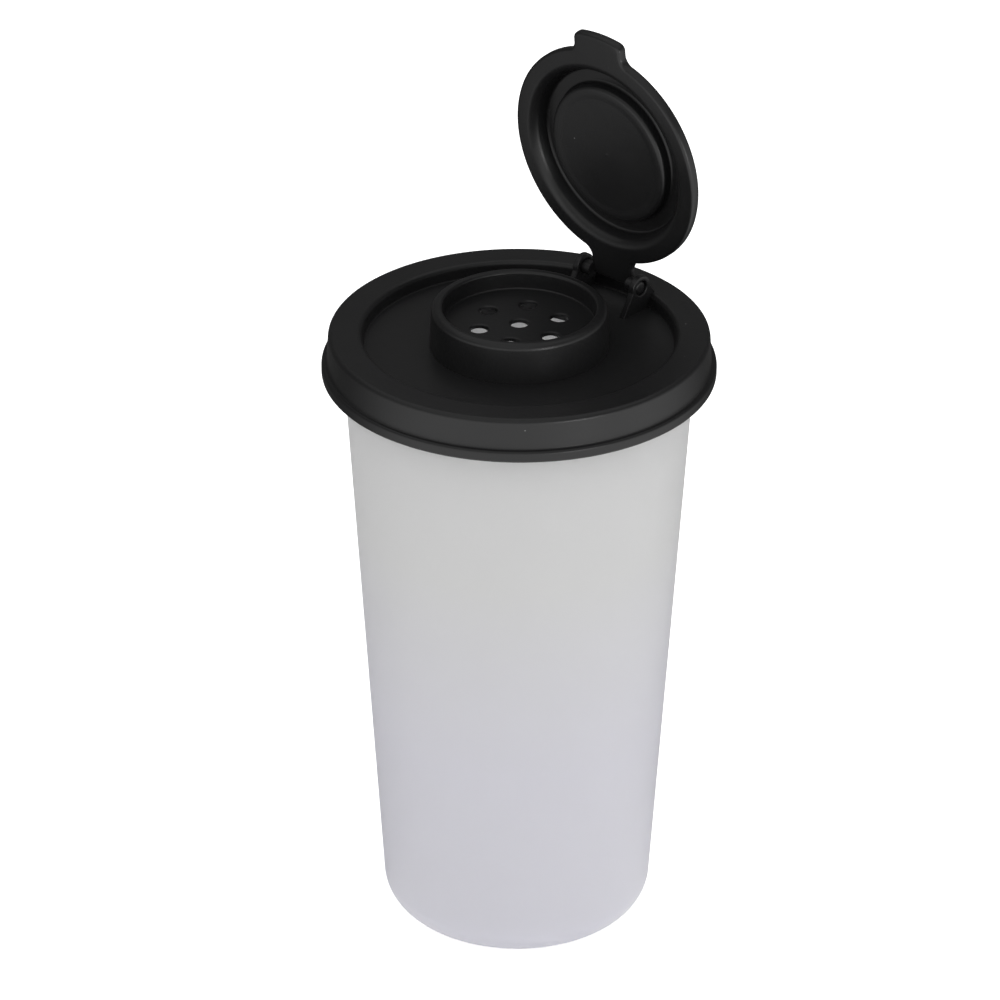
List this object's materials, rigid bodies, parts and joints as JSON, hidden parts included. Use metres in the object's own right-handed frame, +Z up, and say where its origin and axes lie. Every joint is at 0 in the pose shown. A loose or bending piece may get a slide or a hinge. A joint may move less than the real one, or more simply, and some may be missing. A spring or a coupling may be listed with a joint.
{
  "type": "spice shaker with flip cap",
  "caption": "Tall tapered plastic shaker for table spices, with a press-on lid, a round pouring collar over a sifter floor, and a flip cap on a snap hinge.",
  "frame": {"origin": "centre of the foot ring, on the surface that the shaker stands on", "axes": "+Z up the cup's axis, +Y from the cup's axis to the cap's hinge, X along the hinge pins"},
  "size_m": [0.078, 0.078, 0.1863],
  "materials": {
    "white_plastic": "translucent milky white polypropylene, fine moulded grain",
    "black_plastic": "black polypropylene, satin"
  },
  "bodies": {
    "container": {"container": "white_plastic"},
    "lid": {"press_on_lid": "black_plastic"},
    "cap": {"flip_cap": "black_plastic"}
  },
  "joints": [
    {"name": "lid_lift", "type": "slide", "parent": "container", "child": "lid", "axis": [0, 0, 1], "range_m": [0, 0.03]},
    {"name": "cap_hinge", "type": "hinge", "parent": "lid", "child": "cap", "pos_m": [0, 0.0272, 0.1323], "axis": [-1, 0, 0], "range_deg": [-84, 80]}
  ]
}
